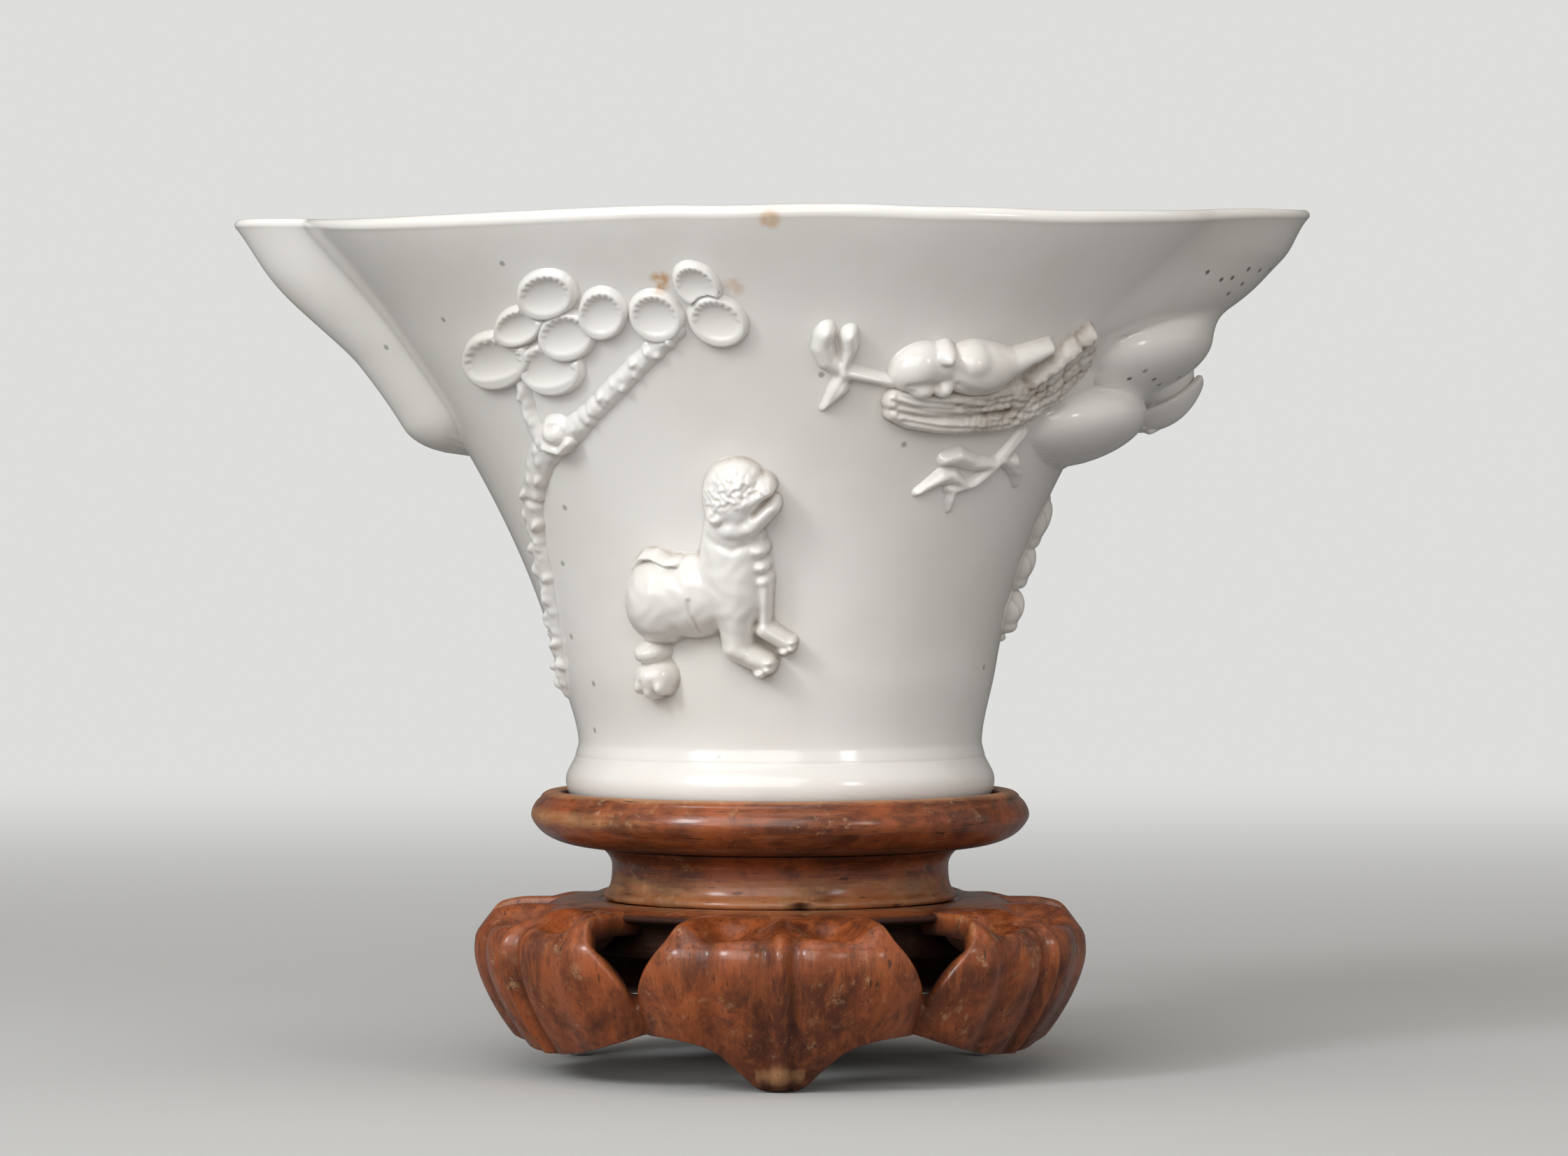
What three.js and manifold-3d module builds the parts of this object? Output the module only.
// Libation cup of moulded porcelain on a turned and carved wooden stand.
// Millimetres, +Z up. The cup's length runs along X and its front faces -Y.
// A turn is an angle in degrees about the upright axis: 0 at the front, 90 at the right.
import * as THREE from "three";
import { mergeVertices } from "three/addons/utils/BufferGeometryUtils.js";
import Module from "manifold-3d";

// Petal base of the stand
const petalCount = 6;
const petalReach = 40.2; // axis to the belly of a petal
const bellyHeight = 16; // height of the widest place
const baseTop = 22; // top face of the petal base
const shoulderWidth = 14; // how far a petal's top runs in from its belly
const footReach = 31; // axis to the outer edge of a foot
const footHalfTurn = 4; // half the turn that a foot's flat tip takes
const petalWall = 3.6; // thickness of the carved wall
const valleyDepth = 3.4; // how far the wall draws in between two petals
const keelRise = 0.7; // crest along the middle of a petal
const archHeight = 6.6; // lower edge between two petals, above the table
const shortTip = 3.4; // gap under the tip of a petal without a foot
const tipLength = 5.4; // how soon the lower edge rises beside a foot
const plateThickness = 3.6; // top plate of the base
const hubRadius = 26.5; // solid middle of the top plate
const openingHalfWidth = 5.2; // opening between two petals, at its top
const openingBottom = 11; // lowest point of an opening

// Waist collar and seat dish of the stand
const waistRadius = 22.4;
const waistBead = 0.7; // how far the bead at the waist's foot stands out
const waistHeight = 7;
const tenonRadius = 12;
const tenonLength = 2.6;
const seatRadius = 32.7; // widest place of the rounded edge
const seatThickness = 7.4;
const recessDepth = 1.4; // recess that takes the cup's foot
const glueLine = 0.1; // gap at the glued wooden faces
const tenonGap = 0.2; // gap round and past a tenon
const restGap = 0.2; // cup foot above the recess floor
const footPlay = 0.5; // cup foot to the side of the recess

// Cup, with heights above its own foot
const cupHeight = 74.9; // front of the rim
const lipRise = 1.4; // extra height of the rim at the pouring lip
const tailRise = 2.3; // extra height of the rim at the right end
const rimPower = 14; // how close to the two ends the rim starts to rise
const lipReach = 71.5; // axis to the tip of the pouring lip
const lipStand = 9; // how far the lip stands out of the oval
const lipHalfWidth = 11.5;
const tailReach = 69.3; // axis to the right end of the rim
const tailStand = 7.3; // how far the right lobe stands out of the oval
const frontReach = 50;
const backReach = 52;
const ovalPower = 2.15; // squareness of the rim's oval
const flarePower = 1.72; // how late the wall flares
const flareSkew = 0.14; // flares later at the right, earlier at the left
const lowerFullness = 1.2; // swell of the wall just above the foot
const neckRadius = 26.4;
const neckHeight = 7.4;
const footRadius = 28.1;
const footBellyHeight = 2.8; // widest place of the foot
const footRingWidth = 5;
const footRecess = 2.4;
const floorHeight = 8.6; // inside floor
const wallThickness = 3.2;
const rimThickness = 2;
const rimEdge = 0.9; // height of the rounded edge
const knobHeight = 48; // where the ridge under the lip is fully round
const knobLength = 3.2; // rounded end below that
const knobRise = 6.6;
const lipBulge = { height: 66, half: 7, rise: 1.7 }; // fullness of the ridge under the lip
const lowLobe = { height: 49.4, half: 5.6, rise: 8.2, width: 17, turn: 84 };
const midLobe = { height: 57.6, half: 6, rise: 9.6, width: 16, turn: 87 };
const tailLobe = { start: 61, full: 68, rise: 10.6, width: 26, turn: 90 };
const lobeBlend = 5; // higher values part the lobes with a sharper crease
const fadePower = 1.6; // how round the ridge and the lobes are from side to side

// Ornaments stuck on the cup
const slipGap = 0.3; // gap between an ornament and the wall or its neighbour
const trunkRadius = 1.6;
const branchRadius = 1.2;
const stemRadius = 0.7;
const logRadius = 1.4;
const tailRadius = 0.9; // tail of the lion
const discRise = 1.7; // rim of a needle disc above the wall
const discDish = 0.8; // middle of a needle disc above the wall
const twigLift = 0.3; // middle of a twig or stem above the wall
const logLift = 0.5; // middle of a log above the wall
const tailLift = 2.2; // middle of the lion's tail above the wall
const unitCount = 75; // the ornaments are drawn in units, this many to the height of the cup
const pineTurn = -40; // turns of the middles of the three front ornaments
const lionTurn = -14;
const raftTurn = 35;

const cupTurns = 60; // columns round the cup
const cupCrowding = 0.2; // how much the cup's columns crowd towards its two ends
const baseTurns = 96; // columns round the petal base
const turnedSides = 40; // columns round the turned pieces

const wasm = await Module();
wasm.setup();

const radians = THREE.MathUtils.degToRad;
const smooth = THREE.MathUtils.smoothstep;
const seatUnderside = baseTop + waistHeight;
const seatTop = seatUnderside + seatThickness;
const cupBase = seatTop - recessDepth + restGap;
const unit = cupHeight / unitCount;
const lobeFoot = lowLobe.height - lowLobe.half;

// Solids and meshes

function toSolid(geometry) {
  const bare = geometry.clone();
  bare.deleteAttribute("normal");
  bare.deleteAttribute("uv");
  const merged = mergeVertices(bare, 1e-4);
  const corners = merged.index.array;
  const triVerts = [];
  for (let i = 0; i < corners.length; i += 3) {
    const [a, b, c] = [corners[i], corners[i + 1], corners[i + 2]];
    if (a !== b && b !== c && c !== a) triVerts.push(a, b, c);
  }
  const vertProperties = new Float32Array(merged.attributes.position.array);
  const mesh = new wasm.Mesh({ numProp: 3, vertProperties, triVerts: new Uint32Array(triVerts) });
  return new wasm.Manifold(mesh);
}

function join(solids) {
  return solids.reduce((whole, next) => whole.add(next));
}

function cut(solid, cutters) {
  return cutters.reduce((whole, next) => whole.subtract(next), solid);
}

function toMesh(name, solid, material) {
  const { vertProperties, triVerts } = solid.getMesh();
  const geometry = new THREE.BufferGeometry();
  geometry.setAttribute("position", new THREE.BufferAttribute(vertProperties, 3));
  geometry.setIndex(new THREE.BufferAttribute(triVerts, 1));
  geometry.computeVertexNormals();
  const mesh = new THREE.Mesh(geometry, material.clone());
  mesh.name = name;
  return mesh;
}

// A lathed shape whose rings are functions of the turn, each giving [radius, height].
function shaped(rings, columns, crowding = 0) {
  const outline = rings.map((ring) => new THREE.Vector2(...ring(0)));
  const geometry = new THREE.LatheGeometry(outline, columns);
  const position = geometry.attributes.position;
  for (let i = 0; i < position.count; i++) {
    const even = (2 * Math.PI * Math.floor(i / rings.length)) / columns;
    const angle = even + crowding * Math.sin(2 * even);
    const [radius, height] = rings[i % rings.length](THREE.MathUtils.radToDeg(angle));
    position.setXYZ(i, radius * Math.sin(angle), height, radius * Math.cos(angle));
  }
  return toSolid(geometry.rotateX(Math.PI / 2));
}

function turned(profile, columns = turnedSides) {
  return shaped(
    profile.map(([radius, height]) => () => [radius, height]),
    columns,
  );
}

// Cup wall

function rimHeight(turn) {
  const along = Math.sin(radians(turn));
  return cupHeight + (along > 0 ? tailRise : lipRise) * Math.abs(along) ** rimPower;
}

function ovalRadius(turn) {
  const along = Math.sin(radians(turn));
  const across = Math.cos(radians(turn));
  const endReach = along > 0 ? tailReach - tailStand : lipReach - lipStand;
  const sideReach = across > 0 ? frontReach : backReach;
  const sum = Math.abs(along / endReach) ** ovalPower + Math.abs(across / sideReach) ** ovalPower;
  return sum ** (-1 / ovalPower);
}

function plainWall(turn, height) {
  const rise = THREE.MathUtils.clamp((height - neckHeight) / (rimHeight(turn) - neckHeight), 0, 1);
  const power = flarePower + flareSkew * Math.sin(radians(turn));
  const fullness = lowerFullness * smooth(rise, 0, 0.15) * (1 - rise) ** 2;
  return neckRadius + (ovalRadius(turn) - neckRadius) * rise ** power + fullness;
}

function dome(offset) {
  return Math.sqrt(Math.max(0, 1 - offset * offset));
}

// Falls from 1 on the line of a turn to 0 at half a width to either side of it.
function sideFade(turn, centre, radius, halfWidth) {
  const angle = radians(turn - centre);
  if (Math.cos(angle) <= 0) return 0;
  const offset = Math.min(1, Math.abs(radius * Math.sin(angle)) / halfWidth);
  return Math.cos((Math.PI / 2) * offset) ** fadePower;
}

// Ridge under the pouring lip and the three stepped lobes at the right end.
function swell(turn, height) {
  const radius = plainWall(turn, height);
  const below = Math.min(0, (height - knobHeight) / knobLength);
  const ridge = knobRise * dome(below) + (lipStand - knobRise) * smooth(height, knobHeight, cupHeight);
  const bulge = lipBulge.rise * dome((height - lipBulge.height) / lipBulge.half) ** 2;
  const lip = (ridge + bulge) * sideFade(turn, -90, radius, lipHalfWidth);
  const step = (lobe) =>
    lobe.rise * dome((height - lobe.height) / lobe.half) * sideFade(turn, lobe.turn, radius, lobe.width);
  const tailDrop = (tailLobe.rise - tailStand) * smooth(height, tailLobe.full, cupHeight);
  const tailRound = dome(Math.min(0, (height - tailLobe.full) / (tailLobe.full - tailLobe.start)));
  const tail = (tailLobe.rise - tailDrop) * tailRound * sideFade(turn, tailLobe.turn, radius, tailLobe.width);
  const lobes = [step(lowLobe), step(midLobe), tail];
  return lip + lobes.reduce((sum, rise) => sum + rise ** lobeBlend, 0) ** (1 / lobeBlend);
}

function outerWall(turn, height) {
  return plainWall(turn, height) + swell(turn, height);
}

// The inside follows the wall, and takes the shape of the lip and the lobes only near the rim.
function innerWall(turn, height) {
  const rim = rimHeight(turn);
  const nearRim = smooth(height, knobHeight, rim);
  const thickness = THREE.MathUtils.lerp(wallThickness, rimThickness, height / rim);
  return plainWall(turn, height) + swell(turn, height) * nearRim - thickness;
}

const knobBottom = knobHeight - knobLength;
const lowerHeights = [0.16, 0.4, 0.66, 0.985].map(
  (share) => neckHeight + share * (knobBottom - neckHeight),
);
const knobHeights = [0.04, 0.4, 1].map((share) => knobBottom + share * knobLength);
const upperShares = [0.12, 0.22, 0.33, 0.44, 0.52, 0.62, 0.76, 0.9];

function upperHeight(turn, share) {
  return knobHeight + share * (rimHeight(turn) - knobHeight);
}

// Outer rings from the neck to just under the rim, set out by a clearance.
function wallRings(clearance) {
  const fixed = [neckHeight, ...lowerHeights, ...knobHeights].map(
    (height) => (turn) => [outerWall(turn, height) + clearance, height],
  );
  const upper = upperShares.map((share) => (turn) => {
    const height = upperHeight(turn, share);
    return [outerWall(turn, height) + clearance, height];
  });
  return [...fixed, ...upper];
}

function cupBodySolid() {
  const innerShares = [0.9, 0.7, 0.5, 0.3, 0.15, 0.05];
  const foot = [
    [0, footRecess],
    [footRadius - footRingWidth - 1, footRecess],
    [footRadius - footRingWidth, 0],
    [footRadius - 1, 0],
    [footRadius, footBellyHeight],
    [neckRadius + 0.7, neckHeight - 2],
  ].map((point) => () => point);
  const rim = [
    (turn) => [outerWall(turn, rimHeight(turn)), rimHeight(turn) - rimEdge],
    (turn) => [outerWall(turn, rimHeight(turn)) - rimThickness / 2, rimHeight(turn)],
    (turn) => [outerWall(turn, rimHeight(turn)) - rimThickness, rimHeight(turn) - rimEdge],
  ];
  const inside = innerShares.map((share) => (turn) => {
    const height = THREE.MathUtils.lerp(floorHeight, rimHeight(turn), share);
    return [innerWall(turn, height), height];
  });
  const floor = [(turn) => [innerWall(turn, floorHeight) - 4, floorHeight], () => [0, floorHeight]];
  return shaped([...foot, ...wallRings(0), ...rim, ...inside, ...floor], cupTurns, cupCrowding);
}

// The cup's outside with the slip gap added: it trims the back of every ornament.
function cupSkinSolid() {
  const rings = wallRings(slipGap);
  const rim = (turn) => [outerWall(turn, rimHeight(turn)) + slipGap, rimHeight(turn)];
  const foot = [() => [0, 0], () => [footRadius + slipGap, 0]];
  return shaped([...foot, ...rings, rim, () => [0, cupHeight]], cupTurns, cupCrowding);
}

// Places on the cup wall

function wallPoint(turn, height, lift = 0) {
  const radius = outerWall(turn, height);
  const angle = radians(turn);
  const point = new THREE.Vector3(radius * Math.sin(angle), -radius * Math.cos(angle), height);
  return lift ? point.addScaledVector(wallNormal(turn, height), lift) : point;
}

function wallNormal(turn, height) {
  const alongTurn = wallPoint(turn + 2, height).sub(wallPoint(turn - 2, height));
  const alongHeight = wallPoint(turn, height + 1.5).sub(wallPoint(turn, height - 1.5));
  return alongTurn.cross(alongHeight).normalize();
}

// Stands a geometry made on the XY plane, facing +Z, against the wall.
function onWall(geometry, { turn, height, tilt = 0, lift = 0 }) {
  const outward = wallNormal(turn, height);
  const right = new THREE.Vector3(0, 0, 1).cross(outward).normalize();
  const up = outward.clone().cross(right);
  const frame = new THREE.Matrix4().makeBasis(right, up, outward);
  frame.setPosition(wallPoint(turn, height, lift));
  return toSolid(geometry.rotateZ(radians(tilt)).applyMatrix4(frame));
}

function bead(place, grow = 0) {
  const ball = new THREE.SphereGeometry(1, 9, 6).rotateX(Math.PI / 2);
  ball.scale(place.width / 2 + grow, place.tall / 2 + grow, place.rise + grow);
  return onWall(ball, place);
}

function twig(route, radius, lift, steps = 12, sides = 8) {
  const points = route.map(([turn, height]) => wallPoint(turn, height, lift));
  const section = new THREE.Shape().absarc(0, 0, radius, 0, 2 * Math.PI);
  const round = new THREE.Shape(section.getSpacedPoints(sides).slice(0, sides));
  const extrudePath = new THREE.CatmullRomCurve3(points);
  return toSolid(new THREE.ExtrudeGeometry(round, { steps, extrudePath, bevelEnabled: false }));
}

// Ornaments, each as a list of rounded lumps and twigs, drawn in units of the cup

// Turn of a place that lies some units to the right of an ornament's middle, along the wall.
function turnBeside(middle, right, height) {
  return middle + THREE.MathUtils.radToDeg((right * unit) / outerWall(middle, height * unit));
}

function scaled({ turn, tilt = 0, height, width, tall, rise = 0 }) {
  return { turn, tilt, height: height * unit, width: width * unit, tall: tall * unit, rise: rise * unit };
}

function placed(middle, places) {
  return places.map((place) => scaled({ ...place, turn: turnBeside(middle, place.right, place.height) }));
}

function routed(middle, route) {
  return route.map(([right, height]) => [turnBeside(middle, right, height), height * unit]);
}

const needleDiscs = placed(pineTurn, [
  { right: 3.1, height: 64.5, width: 7, tall: 7.4 },
  { right: 0.1, height: 54.9, width: 7, tall: 7 },
  { right: -8.1, height: 56.3, width: 7.8, tall: 7.6 },
  { right: 4.4, height: 58.9, width: 6.4, tall: 6.6 },
  { right: -3.6, height: 60.2, width: 5.8, tall: 6.2 },
  { right: 9.9, height: 62, width: 7, tall: 7.6 },
  { right: 16.8, height: 61.7, width: 7.4, tall: 8 },
  { right: 24.2, height: 60.5, width: 7.8, tall: 7 },
  { right: 23.4, height: 66, width: 6.4, tall: 6.4 },
]);

function needleDisc(place, grow = 0) {
  const outline = [
    [0, -2],
    [0.8, -2],
    [1, discRise * 0.6],
    [0.88, discRise],
    [0.45, discDish + 0.15],
    [0, discDish],
  ].map(([radius, height]) => new THREE.Vector2(radius, height + (height > 0 ? grow : 0)));
  const disc = new THREE.LatheGeometry(outline, 14).rotateX(Math.PI / 2);
  disc.scale(place.width / 2 + grow, place.tall / 2 + grow, 1);
  return onWall(disc, place);
}

const trunkRoute = routed(pineTurn, [
  [-20.7, 13.5],
  [-19.8, 20],
  [-17.6, 26],
  [-14.6, 31.5],
  [-12.7, 35],
  [-10.9, 38.4],
  [-8.6, 41.5],
  [-5.4, 45],
  [-3.4, 46.8],
]);
const leftBranchRoute = routed(pineTurn, [
  [-5.7, 47.4],
  [-5.6, 49.8],
  [-5, 53.2],
]);
const rightBranchRoute = routed(pineTurn, [
  [-1, 47.6],
  [5.3, 51.2],
  [10.6, 54.6],
  [15.8, 57.6],
]);

const lionBeads = placed(lionTurn, [
  { right: 3.5, height: 39.4, width: 9.6, tall: 9.6, rise: 5 },
  { right: 3.8, height: 42.4, width: 7, tall: 5, rise: 3.8 },
  { right: 0.9, height: 37, width: 3.4, tall: 4.2, rise: 5.2 },
  { right: 6.7, height: 39.2, width: 4.4, tall: 5, rise: 4.6 },
  { right: 2.4, height: 32, width: 8.4, tall: 9, rise: 4 },
  { right: 5.6, height: 31.6, width: 3.4, tall: 8, rise: 3.6 },
  { right: -2.8, height: 27.6, width: 16, tall: 9.6, rise: 4.4, tilt: 8 },
  { right: 2, height: 27.6, width: 8.4, tall: 9, rise: 4.8 },
  { right: -8.1, height: 27.2, width: 9, tall: 11.5, rise: 4.8 },
  { right: -8.1, height: 20.8, width: 5.2, tall: 8, rise: 3.8 },
  { right: -8.3, height: 16, width: 7.4, tall: 5.2, rise: 3.8 },
  { right: 1.6, height: 23.2, width: 5, tall: 8.4, rise: 4.2 },
  { right: 3.8, height: 20, width: 7, tall: 4, rise: 4 },
  { right: 5.5, height: 26, width: 2.8, tall: 9.4, rise: 3 },
  { right: 6.9, height: 21.9, width: 5, tall: 3.4, rise: 3.2 },
]);
const lionTailRoute = routed(lionTurn, [
  [-9.4, 30],
  [-8.3, 32.6],
  [-5.9, 32.7],
  [-3, 31.2],
]);

const raftLogs = [
  [
    [-10.8, 50.2],
    [-5.3, 48.4],
    [4.6, 48.6],
    [12.1, 50],
  ],
  [
    [-11.4, 52.4],
    [-4.3, 50.9],
    [2.7, 51.3],
    [9.8, 53.4],
  ],
].map((route) => routed(raftTurn, route));
const raftRoots = [
  [
    [6.2, 52.4],
    [10.5, 56],
    [15.4, 60.4],
  ],
  [
    [10.7, 49.8],
    [15.2, 52.4],
    [19.4, 56.6],
  ],
].map((route) => routed(raftTurn, route));
const riderBeads = placed(raftTurn, [
  { right: -8.3, height: 55, width: 7.4, tall: 5.6, rise: 3.4 },
  { right: -5.3, height: 56.9, width: 3.2, tall: 3.6, rise: 3.8 },
  { right: -1.2, height: 56.4, width: 7, tall: 6, rise: 3.2 },
  { right: 4.5, height: 56.4, width: 8, tall: 3.6, rise: 2.4, tilt: 16 },
]);
const prowLeaves = placed(raftTurn, [
  { right: -17.4, height: 54.6, width: 3.6, tall: 4, rise: 1.6 },
  { right: -20.1, height: 57.8, width: 2.6, tall: 8, rise: 1.7, tilt: 8 },
  { right: -16.8, height: 58, width: 2.6, tall: 8, rise: 1.7, tilt: -8 },
  { right: -17.1, height: 52.2, width: 2.6, tall: 6.6, rise: 1.6, tilt: -14 },
]);
const prowStemRoute = routed(raftTurn, [
  [-11.3, 53.8],
  [-14.9, 54.2],
  [-17.6, 54.8],
]);
const sprayLeaves = placed(raftTurn, [
  { right: 3.6, height: 43.8, width: 8, tall: 3, rise: 1.6, tilt: -8 },
  { right: -0.8, height: 41.2, width: 7.4, tall: 2.8, rise: 1.6, tilt: 22 },
  { right: 2.2, height: 38.9, width: 2.2, tall: 5.4, rise: 1.5, tilt: -10 },
  { right: 10.1, height: 43.2, width: 2.6, tall: 6.4, rise: 1.6, tilt: 46 },
]);
const sprayStemRoute = routed(raftTurn, [
  [10.5, 46.4],
  [8.5, 44.4],
  [5.1, 41.4],
  [-0.4, 41.1],
]);

// The prunus keeps under the lowest lobe, so its heights are shares of the lobe's lower edge.
const prunusRoute = [
  [112, 0.34],
  [104, 0.5],
  [101, 0.68],
  [104, 0.87],
  [112, 1.03],
].map(([turn, share]) => [turn, share * lobeFoot]);
const prunusBuds = [
  { turn: 92.5, share: 0.58, size: 4.3 },
  { turn: 92, share: 0.71, size: 4.3 },
  { turn: 93.5, share: 0.84, size: 4.6 },
].map(({ turn, share, size }) => {
  const across = size * unit;
  return { turn, height: share * lobeFoot, width: across, tall: across, rise: 0.4 * across };
});

// The magnolia sits behind the two lower lobes, so its heights are counted from the lowest one.
const magnoliaPetals = [
  { turn: 100, above: 8, width: 8, tall: 9, rise: 13.4 },
  { turn: 104, above: 2, width: 9, tall: 7, rise: 9, tilt: -12 },
  { turn: 107, above: 6, width: 9, tall: 7, rise: 9, tilt: 12 },
].map(({ above, ...petal }) => scaled({ ...petal, height: lowLobe.height / unit + above }));

function ornaments(porcelain) {
  const skin = cupSkinSolid();
  const stuck = (name, solid, neighbours = []) => toMesh(name, cut(solid, [skin, ...neighbours]), porcelain);
  const beads = (places, grow = 0) => join(places.map((place) => bead(place, grow)));
  const group = new THREE.Group();

  const grownDiscs = needleDiscs.map((place) => needleDisc(place, slipGap));
  needleDiscs.forEach((place, i) => {
    group.add(stuck(`pine_needles_${i + 1}`, needleDisc(place), grownDiscs.slice(0, i)));
  });
  const grownTrunk = twig(trunkRoute, trunkRadius + slipGap, twigLift);
  group.add(stuck("pine_trunk", twig(trunkRoute, trunkRadius, twigLift)));
  const leftBranch = twig(leftBranchRoute, branchRadius, twigLift, 4);
  group.add(stuck("pine_left_branch", leftBranch, [grownTrunk, ...grownDiscs]));
  const rightBranch = twig(rightBranchRoute, branchRadius, twigLift, 8);
  group.add(stuck("pine_right_branch", rightBranch, [grownTrunk, ...grownDiscs]));

  const lionTail = twig(lionTailRoute, tailRadius, tailLift, 6);
  group.add(stuck("guardian_lion", beads(lionBeads).add(lionTail)));

  const raft = (grow) =>
    join([
      ...raftLogs.map((route) => twig(route, logRadius + grow, logLift, 8)),
      ...raftRoots.map((route) => twig(route, logRadius * 0.8 + grow, logLift, 6)),
    ]);
  const grownRaft = raft(slipGap);
  group.add(stuck("raft_hull", raft(0)));
  const grownRider = beads(riderBeads, slipGap);
  group.add(stuck("raft_rider", beads(riderBeads), [grownRaft]));
  const prow = beads(prowLeaves).add(twig(prowStemRoute, stemRadius, twigLift, 4));
  group.add(stuck("prow_sprig", prow, [grownRaft, grownRider]));
  const spray = beads(sprayLeaves).add(twig(sprayStemRoute, stemRadius, twigLift, 6));
  group.add(stuck("leaf_spray", spray, [grownRaft]));

  const grownBuds = prunusBuds.map((place) => bead(place, slipGap));
  prunusBuds.forEach((place, i) => group.add(stuck(`prunus_bud_${i + 1}`, bead(place))));
  const grownFlower = beads(magnoliaPetals, slipGap);
  group.add(stuck("magnolia_flower", beads(magnoliaPetals)));
  const prunus = twig(prunusRoute, branchRadius, twigLift, 10);
  group.add(stuck("prunus_branch", prunus, [...grownBuds, grownFlower]));
  return group;
}

// Wooden stand

function bellyRadius(height) {
  if (height < bellyHeight) {
    return petalReach - (petalReach - footReach) * ((bellyHeight - height) / bellyHeight) ** 1.6;
  }
  const rise = (height - bellyHeight) / (baseTop - bellyHeight);
  return petalReach - shoulderWidth * (1 - Math.sqrt(Math.max(0, 1 - rise ** 3.2)));
}

// Turn from the middle of the nearest petal. Petal 0 is at the front, and every second one has a foot.
function fromPetal(turn) {
  const spacing = 360 / petalCount;
  const petal = Math.round(turn / spacing);
  return { offset: turn - petal * spacing, hasFoot: petal % 2 === 0 };
}

function petalRadius(turn, height) {
  const { offset } = fromPetal(turn);
  const share = Math.abs(offset) / (180 / petalCount);
  const draw = valleyDepth * (1 - Math.sqrt(Math.max(0, 1 - share ** 3)));
  const keel = keelRise * Math.exp(-Math.abs(offset) / 2);
  return bellyRadius(height) - draw + keel;
}

function lowerEdge(turn) {
  const { offset, hasFoot } = fromPetal(turn);
  if (!hasFoot) return shortTip + (archHeight - shortTip) * (offset / (180 / petalCount)) ** 2;
  const beside = footReach * radians(Math.max(0, Math.abs(offset) - footHalfTurn));
  return archHeight * (1 - Math.exp(-((beside / tipLength) ** 1.6)));
}

function petalBaseSolid() {
  const hole = tenonRadius + tenonGap;
  const plateUnder = baseTop - plateThickness;
  const shoulderShares = [-0.3, 0.2, 0.6, 0.88, 0.985];
  const skirtTop = bellyHeight + shoulderShares[0] * (baseTop - bellyHeight);
  const shoulders = shoulderShares.map((share) => (turn) => {
    const height = bellyHeight + share * (baseTop - bellyHeight);
    return [petalRadius(turn, height), height];
  });
  const skirt = (inset, shares) =>
    shares.map((share) => (turn) => {
      const height = THREE.MathUtils.lerp(lowerEdge(turn), skirtTop, share);
      return [petalRadius(turn, height) - inset, height];
    });
  const rings = [
    () => [hole, baseTop],
    () => [hole, plateUnder],
    (turn) => [petalRadius(turn, plateUnder) - petalWall - 4, plateUnder],
    (turn) => [petalRadius(turn, plateUnder - 1) - petalWall - 1, plateUnder - 1],
    ...skirt(petalWall, [1, 0.5, 0]),
    ...skirt(0, [0, 0.3, 0.62]),
    ...shoulders,
    () => [hubRadius, baseTop],
    () => [hole, baseTop],
  ];
  return cut(shaped(rings, baseTurns), openingCutters());
}

function openingCutters() {
  const outline = new THREE.Shape();
  const bulge = (baseTop - openingBottom) / 4;
  outline.moveTo(-openingHalfWidth, baseTop + 4);
  outline.lineTo(-openingHalfWidth, baseTop - 1);
  outline.quadraticCurveTo(-openingHalfWidth, openingBottom + bulge, 0, openingBottom);
  outline.quadraticCurveTo(openingHalfWidth, openingBottom + bulge, openingHalfWidth, baseTop - 1);
  outline.lineTo(openingHalfWidth, baseTop + 4);
  const spacing = 360 / petalCount;
  return Array.from({ length: petalCount }, (_, i) => {
    const depth = petalReach;
    const prism = new THREE.ExtrudeGeometry(outline, { depth, bevelEnabled: false, curveSegments: 4 });
    prism.rotateX(Math.PI / 2).translate(0, -hubRadius, 0);
    return toSolid(prism.rotateZ(radians((i + 0.5) * spacing)));
  });
}

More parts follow.
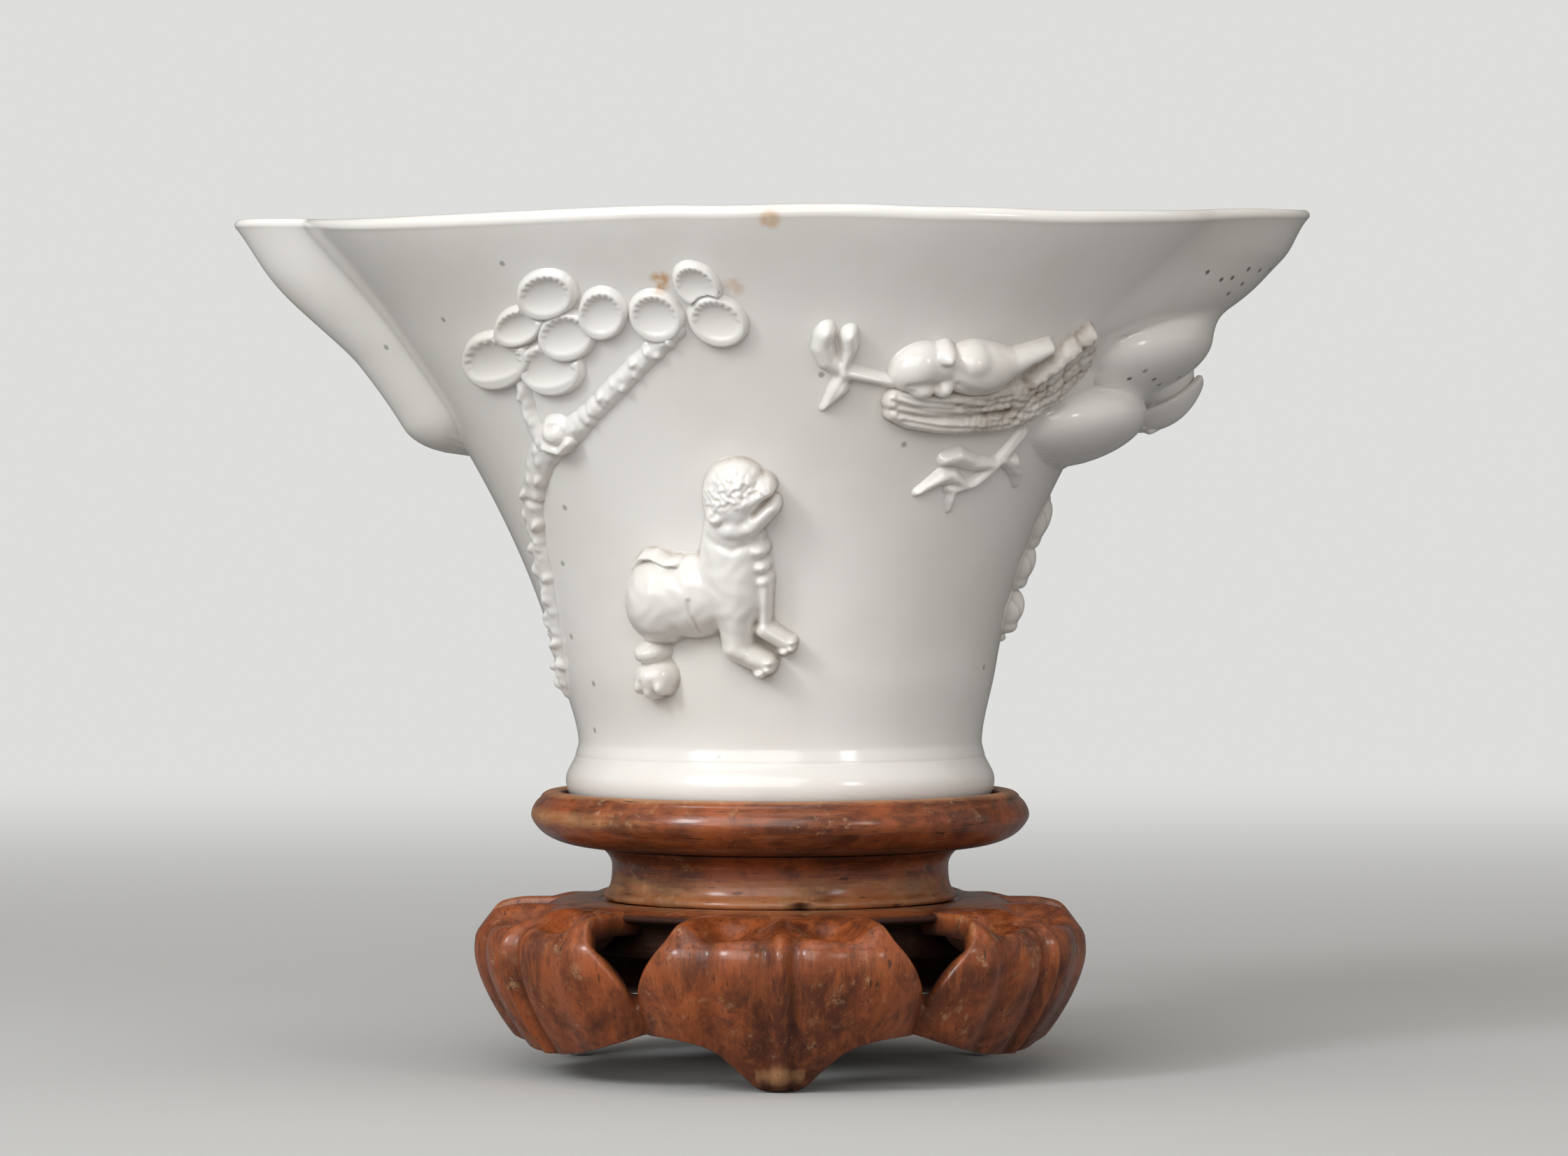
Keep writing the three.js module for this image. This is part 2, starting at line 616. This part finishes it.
function waistCollarSolid() {
  const bottom = baseTop + glueLine;
  const top = seatUnderside;
  return turned([
    [0, bottom - tenonLength],
    [tenonRadius, bottom - tenonLength],
    [tenonRadius, bottom],
    [waistRadius + waistBead, bottom],
    [waistRadius + waistBead, bottom + 1.4],
    [waistRadius + waistBead * 0.6, bottom + 3],
    [waistRadius, top - 2],
    [waistRadius + 0.5, top - 0.8],
    [waistRadius + 1.4, top],
    [tenonRadius, top],
    [tenonRadius, top + tenonLength],
    [0, top + tenonLength],
  ]);
}

function seatDishSolid() {
  const under = seatUnderside + glueLine;
  const middle = seatUnderside + seatThickness / 2;
  const hole = tenonRadius + tenonGap;
  const roof = seatUnderside + tenonLength + tenonGap;
  const recess = footRadius + footPlay;
  const edge = [0.2, 0.5, 0.8, 1].map((share) => {
    const angle = (share - 1) * (Math.PI / 2);
    return [seatRadius - 3 + 3 * Math.cos(angle), middle + (middle - under) * Math.sin(angle)];
  });
  return turned([
    [0, roof],
    [hole, roof],
    [hole, under],
    [seatRadius - 4.4, under],
    ...edge,
    [seatRadius - 0.5, middle + 1],
    [seatRadius - 2.2, seatTop - 0.3],
    [seatRadius - 2.8, seatTop],
    [recess + 0.4, seatTop],
    [recess, seatTop - 0.4],
    [recess, seatTop - recessDepth],
    [0, seatTop - recessDepth],
  ]);
}

const porcelain = new THREE.MeshStandardMaterial({ color: 0xe8e2d3, roughness: 0.16, metalness: 0 });
const wood = new THREE.MeshStandardMaterial({ color: 0x7a3317, roughness: 0.42, metalness: 0 });

const stand = new THREE.Group();
stand.add(toMesh("petal_base", petalBaseSolid(), wood));
stand.add(toMesh("waist_collar", waistCollarSolid(), wood));
stand.add(toMesh("seat_dish", seatDishSolid(), wood));

const cup = new THREE.Group();
cup.position.z = cupBase;
cup.add(toMesh("cup_body", cupBodySolid(), porcelain));
cup.add(ornaments(porcelain));

// The origin is on the table, under the middle of the whole object's box.
const libationCup = new THREE.Group();
libationCup.position.set((lipReach - tailReach) / 2, (frontReach - backReach) / 2, 0);
libationCup.add(stand, cup);

export default libationCup;
